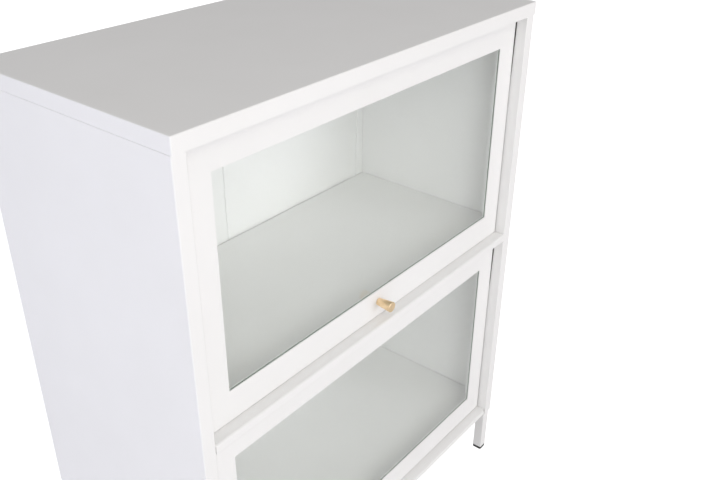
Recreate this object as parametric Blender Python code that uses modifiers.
"""Barrister bookcase in folded sheet steel: two glazed doors that lift and slide back under the deck above them.

Metres, +Z up, front towards -Y. The origin is on the floor, midway across the cabinet and midway
between the tips of the knobs and the back.
"""

import math

import bmesh
import bpy
from mathutils import Matrix, Vector

# Cabinet
WIDTH = 0.800
DEPTH = 0.400
HEIGHT = 1.000
KNOB_PROUD = 0.0055         # the knobs' tips stand this far in front of the lid
FRONT = KNOB_PROUD - (DEPTH + KNOB_PROUD) / 2
BACK = FRONT + DEPTH
SIDE = WIDTH / 2
SHEET = 0.0012
GAP = 0.0003                # left between pieces that touch
BEND = 0.002                # outer radius of a fold
NOSE = 0.004                # outer radius of the rails' front folds
LID_HEIGHT = 0.023
LID_BOTTOM = HEIGHT - LID_HEIGHT
BODY_BOTTOM = 0.102
LEVEL = 0.441               # from one compartment to the next

# Side panels and their posts
POST_WIDTH = 0.022
POST_FRONT = FRONT + 0.002
POST_DEPTH = 0.023
REAR_POST_DEPTH = 0.025
OPENING = SIDE - POST_WIDTH
INNER_SIDE = SIDE - SHEET - GAP
POST_BACK = POST_FRONT + POST_DEPTH
REAR_POST_FRONT = BACK - REAR_POST_DEPTH

# Rails, shelves and back
UPPER_RAIL_TOP = HEIGHT - 0.446
LOWER_RAIL_TOP = UPPER_RAIL_TOP - LEVEL
MIDDLE_RAIL_HEIGHT = 0.016
RAIL_RETURN = 0.012
RAIL_BACK = FRONT + 0.048
SHELF_RISE = 0.0195         # a shelf's top above its rail's top
SHELF_FRONT = FRONT + 0.043
NOTCH = 0.0055              # relief at each end of the bottom rail's front fold
BACK_PANEL_FRONT = REAR_POST_FRONT + 0.0015
BACK_FLANGE = 0.0165
LEDGE_WIDTH = 0.0145
LEDGE_HEIGHT = 0.013

# Doors, measured for the upper one
DOOR_FACE = FRONT + 0.0226
DOOR_DEPTH = 0.018
DOOR_BACK = DOOR_FACE + DOOR_DEPTH
DOOR_SIDE = OPENING - 0.002
DOOR_BOTTOM = UPPER_RAIL_TOP + 0.0012
DOOR_TOP = DOOR_BOTTOM + 0.420
WINDOW_SIDE = SIDE - 0.0707
WINDOW_BOTTOM = DOOR_BOTTOM + 0.050
WINDOW_TOP = DOOR_TOP - 0.0465
GLASS = 0.004
GLASS_OVERLAP = 0.010
LIP = 0.0032                # thickness of the channels' edge along the window
SETBACK = 0.0105            # the rest of a channel stands back from the window by this much
PIN_Y = DOOR_FACE + DOOR_DEPTH / 2
PIN_Z = DOOR_TOP - 0.0105
PIN_RADIUS = 0.0025
PIN_HEAD_RADIUS = 0.0045
PIN_HEAD = 0.0023
PIN_END = OPENING + 0.0145
HOLE_EASE = 0.0003          # a hole's radius over its pin's

# Glides and tracks
GLIDE = Vector((0.012, 0.012, 0.0114))
GLIDE_START = OPENING + 0.0055
TRACK_HALF_HEIGHT = GLIDE.z / 2 + GAP + SHEET
TRACK_START = OPENING + 0.004

# Knobs
KNOB_RISE = 0.0275          # knob's axis above the door's bottom edge
KNOB_LENGTH = DOOR_FACE - FRONT + KNOB_PROUD - GAP
KNOB_BASE_RADIUS = 0.0063
KNOB_TIP_RADIUS = 0.0089
KNOB_BORE = 0.013
SCREW_RADIUS = 0.002
SCREW_HEAD_RADIUS = 0.004
SCREW_HEAD = 0.0018

# Legs
LEG = 0.020
LEG_WALL = 0.0015
LEG_SIDE = SIDE - 0.0075
FOOT_HEIGHT = 0.006
FOOT_PLUG = 0.010
STUD_RADIUS = 0.0025
STUD_HEAD_RADIUS = 0.0045
STUD_HEAD = 0.004
STUD_X = OPENING + 0.007
INSERT_HEIGHT = 0.025

BUMPER_RADIUS = 0.005
BUMPER_X = 0.330

SIDES = {"left": -1, "right": 1}
LEVELS = {"upper": 0.0, "lower": -LEVEL}


def clear_scene():
    for obj in list(bpy.data.objects):
        bpy.data.objects.remove(obj, do_unlink=True)


def make_material(name, color, roughness, metallic=0.0, transmission=0.0):
    material = bpy.data.materials.new(name)
    material.use_nodes = True
    shader = material.node_tree.nodes["Principled BSDF"]
    shader.inputs["Base Color"].default_value = (*color, 1.0)
    shader.inputs["Roughness"].default_value = roughness
    shader.inputs["Metallic"].default_value = metallic
    shader.inputs["Transmission Weight"].default_value = transmission
    return material


clear_scene()
BOOKCASE = bpy.data.collections.new("barrister_bookcase")
CUTTERS = bpy.data.collections.new("cutters")
bpy.context.scene.collection.children.link(BOOKCASE)
bpy.context.scene.collection.children.link(CUTTERS)

WHITE = make_material("white_powder_coat", (0.86, 0.86, 0.84), 0.45)
CLEAR = make_material("float_glass", (0.72, 0.86, 0.80), 0.03, transmission=0.9)
BRASS = make_material("brushed_brass", (0.83, 0.60, 0.34), 0.30, metallic=1.0)
BLACK = make_material("black_plastic", (0.02, 0.02, 0.02), 0.50)
STEEL = make_material("zinc_plated_steel", (0.62, 0.63, 0.64), 0.35, metallic=1.0)
NYLON = make_material("white_nylon", (0.80, 0.80, 0.77), 0.55)
RUBBER = make_material("grey_rubber", (0.30, 0.30, 0.30), 0.80)


def make_empty(name, location, parent=None):
    """An empty on a joint's axis, which carries the pieces of one moving body."""
    empty = bpy.data.objects.new(name, None)
    empty.empty_display_size = 0.03
    empty.location = Vector(location)
    if parent:
        empty.parent = parent
        empty.location -= parent.matrix_world.translation
    BOOKCASE.objects.link(empty)
    bpy.context.view_layer.update()
    return empty


def add_object(name, bm, location, material, parent):
    """Turn a bmesh into a node at a world location, carried by its body's empty."""
    mesh = bpy.data.meshes.new(name)
    bm.to_mesh(mesh)
    bm.free()
    obj = bpy.data.objects.new(name, mesh)
    mesh.materials.append(material)
    BOOKCASE.objects.link(obj)
    obj.parent = parent
    obj.location = Vector(location) - parent.matrix_world.translation
    return obj


def folded_outline(corners, radius, segments):
    """The path through the corners with each one rounded to an arc."""
    points = [Vector(corners[0])]
    for before, corner, after in zip(corners, corners[1:], corners[2:]):
        corner = Vector(corner)
        inward = (Vector(before) - corner).normalized()
        outward = (Vector(after) - corner).normalized()
        half_angle = inward.angle(outward) / 2
        middle = (inward + outward).normalized()
        center = corner + middle * (radius / math.sin(half_angle))
        start = corner + inward * (radius / math.tan(half_angle)) - center
        turn = outward.angle_signed(-inward)
        for step in range(segments + 1):
            angle = turn * step / segments
            points.append(center + Matrix.Rotation(angle, 2) @ start)
    points.append(Vector(corners[-1]))
    return points


def folded_sheet(name, corners, axis, span, material, parent, radius=BEND, segments=2):
    """Sheet metal folded along a path and run along an axis.

    Corners are pairs: (x, y) for axis Z, (y, z) for axis X and (x, z) for axis Y. Seen from the
    axis's + end, the outside is on the path's right, and the sheet's thickness lies on its left.
    """
    low, high = span
    places = {
        "X": lambda p, w: Vector((w, p[0], p[1])),
        "Y": lambda p, w: Vector((p[0], w, p[1])),
        "Z": lambda p, w: Vector((p[0], p[1], w)),
    }
    place = places[axis]
    path = folded_outline(corners, radius, segments)
    origin = place(path[len(path) // 2], (low + high) / 2)
    bm = bmesh.new()
    rows = []
    for w in (low, high):
        rows.append([bm.verts.new(place(point, w) - origin) for point in path])
    for i in range(len(path) - 1):
        bm.faces.new((rows[0][i], rows[0][i + 1], rows[1][i + 1], rows[1][i]))
    obj = add_object(name, bm, origin, material, parent)
    add_thickness(obj, SHEET)
    return obj


def add_thickness(obj, thickness):
    """Solidify inwards, away from the side that the faces point to."""
    solidify = obj.modifiers.new("sheet", "SOLIDIFY")
    solidify.thickness = thickness
    solidify.offset = -1
    solidify.use_even_offset = True


def add_rounding(obj, width, segments=2):
    bevel = obj.modifiers.new("rounding", "BEVEL")
    bevel.width = width
    bevel.segments = segments
    bevel.limit_method = "ANGLE"
    bevel.angle_limit = math.radians(40)


def box_bmesh(size):
    bm = bmesh.new()
    bmesh.ops.create_cube(bm, size=1.0, matrix=Matrix.Diagonal((*size, 1.0)))
    return bm


def open_box(name, low, high, open_side, thickness, material, parent, radius=BEND):
    """A tray or tube end: a box without its open_side face, rounded, then thickened inwards."""
    low, high = Vector(low), Vector(high)
    bm = box_bmesh(high - low)
    open_side = Vector(open_side)
    bm.normal_update()
    gone = [face for face in bm.faces if face.normal.dot(open_side) > 0.5]
    bmesh.ops.delete(bm, geom=gone, context="FACES_ONLY")
    obj = add_object(name, bm, (low + high) / 2, material, parent)
    add_rounding(obj, radius)
    add_thickness(obj, thickness)
    return obj


def solid_box(name, low, high, material, parent, radius=0.0005):
    low, high = Vector(low), Vector(high)
    obj = add_object(name, box_bmesh(high - low), (low + high) / 2, material, parent)
    add_rounding(obj, radius, segments=1)
    return obj


def turned(name, profile, location, direction, material, parent, steps=20):
    """A turned piece. The profile holds (radius, height) pairs from its top down its outside."""
    bm = bmesh.new()
    verts = [bm.verts.new((radius, 0, height)) for radius, height in profile]
    for upper, lower in zip(verts, verts[1:]):
        bm.edges.new((upper, lower))
    obj = add_object(name, bm, location, material, parent)
    obj.rotation_euler = Vector(direction).to_track_quat("Z", "Y").to_euler()
    screw = obj.modifiers.new("turning", "SCREW")
    screw.axis = "Z"
    screw.steps = steps
    screw.render_steps = steps
    screw.use_merge_vertices = True
    screw.merge_threshold = 0.00001
    return obj


def cut(target, name, cutter_bm, location):
    """Cut a bmesh's shape out of a target."""
    mesh = bpy.data.meshes.new(name)
    cutter_bm.to_mesh(mesh)
    cutter_bm.free()
    cutter = bpy.data.objects.new(name, mesh)
    cutter.location = location
    cutter.hide_render = True
    cutter.display_type = "WIRE"
    CUTTERS.objects.link(cutter)
    boolean = target.modifiers.new(name, "BOOLEAN")
    boolean.operation = "DIFFERENCE"
    boolean.solver = "EXACT"
    boolean.object = cutter


def drill(target, name, radius, length, center, direction):
    """Cut a round hole along a direction."""
    bm = bmesh.new()
    turn = Vector(direction).to_track_quat("Z", "Y").to_matrix().to_4x4()
    bmesh.ops.create_cone(
        bm, cap_ends=True, segments=20, radius1=radius, radius2=radius, depth=length, matrix=turn
    )
    cut(target, name, bm, center)


def mirrored(corners, side):
    """A right-hand profile's corners for either side, with the outside still on the path's right."""
    if side > 0:
        return corners
    return [(-x, other) for x, other in reversed(corners)]


def make_side_panel(name, side, parent):
    """Outer wall with a boxed post folded at each edge."""
    corners = [
        (INNER_SIDE, POST_BACK),
        (OPENING, POST_BACK),
        (OPENING, POST_FRONT),
        (SIDE, POST_FRONT),
        (SIDE, BACK),
        (OPENING, BACK),
        (OPENING, REAR_POST_FRONT),
        (INNER_SIDE, REAR_POST_FRONT),
    ]
    top = LID_BOTTOM - GAP
    folded_sheet(name, mirrored(corners, side), "Z", (BODY_BOTTOM, top), WHITE, parent)


def make_back_panel(name, side, parent):
    """One half of the back, with a flange at each upright edge."""
    flange_end = BACK_PANEL_FRONT + BACK_FLANGE
    corners = [
        (GAP, flange_end),
        (GAP, BACK_PANEL_FRONT),
        (OPENING - GAP, BACK_PANEL_FRONT),
        (OPENING - GAP, flange_end),
    ]
    span = (BODY_BOTTOM + 0.001, LID_BOTTOM - 0.0005)
    folded_sheet(name, mirrored(corners, side), "Z", span, WHITE, parent)


def make_rail(name, top, height, back, parent):
    """Front rail between the posts: deck, rounded front fold and a return below."""
    bottom = top - height
    corners = [
        (back, top),
        (POST_FRONT, top),
        (POST_FRONT, bottom),
        (POST_FRONT + RAIL_RETURN, bottom),
    ]
    reach = OPENING - GAP
    return folded_sheet(name, corners, "X", (-reach, reach), WHITE, parent, NOSE, segments=4)


def make_shelf(name, rail_top, parent):
    """A shelf: a shallow tray with its flanges turned down."""
    low = (-(INNER_SIDE - GAP), SHELF_FRONT, rail_top + GAP)
    high = (INNER_SIDE - GAP, REAR_POST_FRONT - 0.0005, rail_top + SHELF_RISE)
    open_box(name, low, high, (0, 0, -1), SHEET, WHITE, parent)


def make_leg(place, side, front, parent):
    """A square tube leg, the plastic foot in it, and the stud that holds it to the post's insert."""
    x_low, x_high = sorted((side * (LEG_SIDE - LEG), side * LEG_SIDE))
    y_low = POST_FRONT if front else BACK - LEG
    y_high = y_low + LEG
    top = BODY_BOTTOM - GAP
    leg = open_box(
        f"leg_{place}", (x_low, y_low, FOOT_HEIGHT + GAP), (x_high, y_high, top),
        (0, 0, -1), LEG_WALL, WHITE, parent,
    )
    center = Vector(((x_low + x_high) / 2, (y_low + y_high) / 2, FOOT_HEIGHT / 2))
    bm = box_bmesh((LEG, LEG, FOOT_HEIGHT))
    bm.normal_update()
    top_faces = [face for face in bm.faces if face.normal.z > 0.5]
    bmesh.ops.inset_region(bm, faces=top_faces, thickness=LEG_WALL + 2 * GAP, use_even_offset=True)
    plug = bmesh.ops.extrude_face_region(bm, geom=top_faces)
    risen = [item for item in plug["geom"] if isinstance(item, bmesh.types.BMVert)]
    bmesh.ops.translate(bm, verts=risen, vec=(0, 0, FOOT_PLUG))
    bmesh.ops.delete(bm, geom=top_faces, context="FACES")
    foot = add_object(f"foot_cap_{place}", bm, center, BLACK, parent)
    add_rounding(foot, 0.0008, segments=1)

    stud_at = Vector((side * STUD_X, center.y, 0))
    hole = STUD_RADIUS + HOLE_EASE
    drill(leg, f"cut_leg_{place}", hole, 0.01, stud_at + Vector((0, 0, top)), (0, 0, 1))
    insert_bottom = BODY_BOTTOM + GAP
    hollow = (POST_FRONT, POST_BACK) if front else (REAR_POST_FRONT, BACK)
    inset = SHEET + 2 * GAP
    xs = sorted((side * (OPENING + inset), side * (SIDE - inset)))
    insert = solid_box(
        f"post_insert_{place}",
        (xs[0], hollow[0] + inset, insert_bottom),
        (xs[1], hollow[1] - inset, insert_bottom + INSERT_HEIGHT),
        NYLON, parent, radius=0.001,
    )
    middle = stud_at + Vector((0, 0, insert_bottom + INSERT_HEIGHT / 2))
    drill(insert, f"cut_insert_{place}", hole, INSERT_HEIGHT + 0.01, middle, (0, 0, 1))
    head_top = top - LEG_WALL - GAP
    shank_top = insert_bottom + INSERT_HEIGHT - 0.004 - head_top
    profile = [
        (0, shank_top), (STUD_RADIUS, shank_top), (STUD_RADIUS, 0),
        (STUD_HEAD_RADIUS, 0), (STUD_HEAD_RADIUS, -STUD_HEAD), (0, -STUD_HEAD),
    ]
    turned(f"leg_stud_{place}", profile, stud_at + Vector((0, 0, head_top)), (0, 0, 1), STEEL, parent, 12)


def make_track(name, side, drop, parent):
    """C-channel on the side wall that guides one glide."""
    web = INNER_SIDE - GAP
    upper = PIN_Z + drop + TRACK_HALF_HEIGHT
    lower = PIN_Z + drop - TRACK_HALF_HEIGHT
    corners = [(TRACK_START, upper), (web, upper), (web, lower), (TRACK_START, lower)]
    span = (POST_BACK + 0.0005, REAR_POST_FRONT - 0.001)
    folded_sheet(name, mirrored(corners, side), "Y", span, STEEL, parent, 0.0015)


def make_ledge(name, side, parent):
    """Angle strip on the side wall that carries the middle shelf."""
    corners = [
        (INNER_SIDE - LEDGE_WIDTH, UPPER_RAIL_TOP),
        (INNER_SIDE, UPPER_RAIL_TOP),
        (INNER_SIDE, UPPER_RAIL_TOP - LEDGE_HEIGHT),
    ]
    span = (POST_BACK + 0.005, REAR_POST_FRONT - 0.005)
    folded_sheet(name, mirrored(corners, side), "Y", span, WHITE, parent)


def make_glide(level, place, side, drop, parent):
    """Nylon block that runs in a track and takes a door's pin."""
    xs = sorted((side * GLIDE_START, side * (GLIDE_START + GLIDE.x)))
    z = PIN_Z + drop
    glide = solid_box(
        f"{level}_glide_{place}",
        (xs[0], PIN_Y - GLIDE.y / 2, z - GLIDE.z / 2),
        (xs[1], PIN_Y + GLIDE.y / 2, z + GLIDE.z / 2),
        NYLON, parent, radius=0.001,
    )
    depth = PIN_END + GAP - GLIDE_START
    center = (side * GLIDE_START, PIN_Y, z)
    drill(glide, f"cut_{level}_glide_{place}", PIN_RADIUS + HOLE_EASE, 2 * depth, center, (side, 0, 0))


def make_door(level, drop, parent):
    """Frame, glass, the four channels that clamp it, pivot pins, knob and its screw."""
    shift = Vector((0, 0, drop))
    frame = open_box(
        f"{level}_door_frame",
        Vector((-DOOR_SIDE, DOOR_FACE, DOOR_BOTTOM)) + shift,
        Vector((DOOR_SIDE, DOOR_BACK, DOOR_TOP)) + shift,
        (0, 1, 0), SHEET, WHITE, parent, radius=0.0015,
    )
    window = Vector((2 * WINDOW_SIDE, 0.01, WINDOW_TOP - WINDOW_BOTTOM))
    window_center = Vector((0, DOOR_FACE, (WINDOW_TOP + WINDOW_BOTTOM) / 2)) + shift
    cut(frame, f"cut_{level}_window", box_bmesh(window), window_center)

    glass_front = DOOR_FACE + SHEET + GAP
    glass_back = glass_front + GLASS
    reach = WINDOW_SIDE + GLASS_OVERLAP
    solid_box(
        f"{level}_glass",
        Vector((-reach, glass_front, WINDOW_BOTTOM - GLASS_OVERLAP)) + shift,
        Vector((reach, glass_back, WINDOW_TOP + GLASS_OVERLAP)) + shift,
        CLEAR, parent,
    )

    near = glass_back + GAP
    far = DOOR_BACK - GAP
    outer = DOOR_SIDE - SHEET - GAP
    step = near + LIP
    low, high = DOOR_BOTTOM + SHEET + GAP + drop, WINDOW_BOTTOM + drop
    corners = [
        (near, low), (far, low), (far, high - SETBACK),
        (step, high - SETBACK), (step, high), (near, high),
    ]
    reach = (-outer, outer)
    bottom = folded_sheet(f"{level}_channel_bottom", corners, "X", reach, WHITE, parent)
    low, high = WINDOW_TOP + drop, DOOR_TOP - SHEET - GAP + drop
    corners = [
        (near, low), (step, low), (step, low + SETBACK),
        (far, low + SETBACK), (far, high), (near, high),
    ]
    folded_sheet(f"{level}_channel_top", corners, "X", reach, WHITE, parent)
    between = (WINDOW_BOTTOM + GAP + drop, WINDOW_TOP - GAP + drop)
    inner = WINDOW_SIDE + SETBACK
    for place, side in SIDES.items():
        corners = [
            (outer, near), (outer, far), (inner, far),
            (inner, step), (WINDOW_SIDE, step), (WINDOW_SIDE, near),
        ]
        folded_sheet(
            f"{level}_channel_{place}", mirrored(corners, side), "Z", between, WHITE, parent
        )

    for place, side in SIDES.items():
        pin_root = Vector((side * (DOOR_SIDE - SHEET - GAP), PIN_Y, PIN_Z + drop))
        shank = PIN_END - abs(pin_root.x)
        profile = [
            (0, shank), (PIN_RADIUS, shank), (PIN_RADIUS, 0),
            (PIN_HEAD_RADIUS, 0), (PIN_HEAD_RADIUS, -PIN_HEAD), (0, -PIN_HEAD),
        ]
        turned(f"{level}_pivot_pin_{place}", profile, pin_root, (side, 0, 0), STEEL, parent, 16)
        drill(
            frame, f"cut_{level}_pin_{place}", PIN_RADIUS + HOLE_EASE, 0.008,
            (side * DOOR_SIDE, PIN_Y, PIN_Z + drop), (1, 0, 0),
        )

    knob_at = Vector((0, DOOR_FACE - GAP, DOOR_BOTTOM + KNOB_RISE)) + shift
    bore = SCREW_RADIUS + HOLE_EASE
    profile = [
        (0, KNOB_LENGTH),
        (KNOB_TIP_RADIUS - 0.0011, KNOB_LENGTH),
        (KNOB_TIP_RADIUS - 0.0002, KNOB_LENGTH - 0.0006),
        (KNOB_TIP_RADIUS, KNOB_LENGTH - 0.0018),
        (KNOB_BASE_RADIUS, 0),
        (bore, 0),
        (bore, KNOB_BORE),
        (0, KNOB_BORE),
    ]
    turned(f"{level}_knob", profile, knob_at, (0, -1, 0), BRASS, parent, 28)
    screw_at = Vector((0, far + GAP, knob_at.z))
    shank = screw_at.y - knob_at.y + KNOB_BORE - 0.002
    profile = [
        (0, shank), (SCREW_RADIUS, shank), (SCREW_RADIUS, 0),
        (SCREW_HEAD_RADIUS, 0), (SCREW_HEAD_RADIUS - 0.0006, -SCREW_HEAD), (0, -SCREW_HEAD),
    ]
    turned(f"{level}_knob_screw", profile, screw_at, (0, -1, 0), STEEL, parent, 16)
    hole_at = Vector((0, DOOR_FACE, knob_at.z))
    drill(frame, f"cut_{level}_knob", bore, 0.006, hole_at, (0, 1, 0))
    hole_at = Vector((0, far, knob_at.z))
    drill(bottom, f"cut_{level}_screw", bore, 0.006, hole_at, (0, 1, 0))


def make_bumpers(level, rail_top, parent):
    """Two rubber pads on the shelf's front flange that the closed door rests on."""
    thickness = SHELF_FRONT - DOOR_BACK - 2 * GAP
    for place, side in SIDES.items():
        at = (side * BUMPER_X, SHELF_FRONT - GAP, rail_top + SHELF_RISE / 2)
        profile = [
            (0, thickness), (BUMPER_RADIUS - 0.0006, thickness),
            (BUMPER_RADIUS, thickness / 2), (BUMPER_RADIUS, 0), (0, 0),
        ]
        turned(f"{level}_bumper_{place}", profile, at, (0, -1, 0), RUBBER, parent, 16)


def make_cabinet():
    cabinet = make_empty("cabinet", (0, 0, 0))
    open_box(
        "lid", (-SIDE, FRONT, LID_BOTTOM), (SIDE, BACK, HEIGHT), (0, 0, -1), SHEET, WHITE, cabinet
    )
    for place, side in SIDES.items():
        make_side_panel(f"side_panel_{place}", side, cabinet)
        make_back_panel(f"back_panel_{place}", side, cabinet)
        make_ledge(f"shelf_ledge_{place}", side, cabinet)
        for row, front in {"front": True, "rear": False}.items():
            make_leg(f"{row}_{place}", side, front, cabinet)
        for level, drop in LEVELS.items():
            make_track(f"{level}_track_{place}", side, drop, cabinet)
    make_rail("middle_rail", UPPER_RAIL_TOP, MIDDLE_RAIL_HEIGHT, RAIL_BACK, cabinet)
    bottom_height = LOWER_RAIL_TOP - BODY_BOTTOM
    bottom_rail = make_rail("bottom_rail", LOWER_RAIL_TOP, bottom_height, POST_BACK - GAP, cabinet)
    for place, side in SIDES.items():
        notch = box_bmesh((2 * NOTCH, 2 * NOSE, 0.03))
        at = (side * (OPENING - GAP), POST_FRONT, BODY_BOTTOM)
        cut(bottom_rail, f"cut_notch_{place}", notch, at)
    open_box(
        "base_panel", (-(INNER_SIDE - GAP), POST_BACK + GAP, BODY_BOTTOM),
        (INNER_SIDE - GAP, REAR_POST_FRONT - GAP, LOWER_RAIL_TOP), (0, 0, -1), SHEET, WHITE, cabinet,
    )
    make_shelf("middle_shelf", UPPER_RAIL_TOP, cabinet)
    make_shelf("bottom_shelf", LOWER_RAIL_TOP, cabinet)
    make_bumpers("upper", UPPER_RAIL_TOP, cabinet)
    make_bumpers("lower", LOWER_RAIL_TOP, cabinet)
    return cabinet


def make_doors(cabinet):
    for level, drop in LEVELS.items():
        axis = (0, PIN_Y, PIN_Z + drop)
        glides = make_empty(f"{level}_glides", axis, cabinet)
        door = make_empty(f"{level}_door", axis, glides)
        for place, side in SIDES.items():
            make_glide(level, place, side, drop, glides)
        make_door(level, drop, door)


make_doors(make_cabinet())
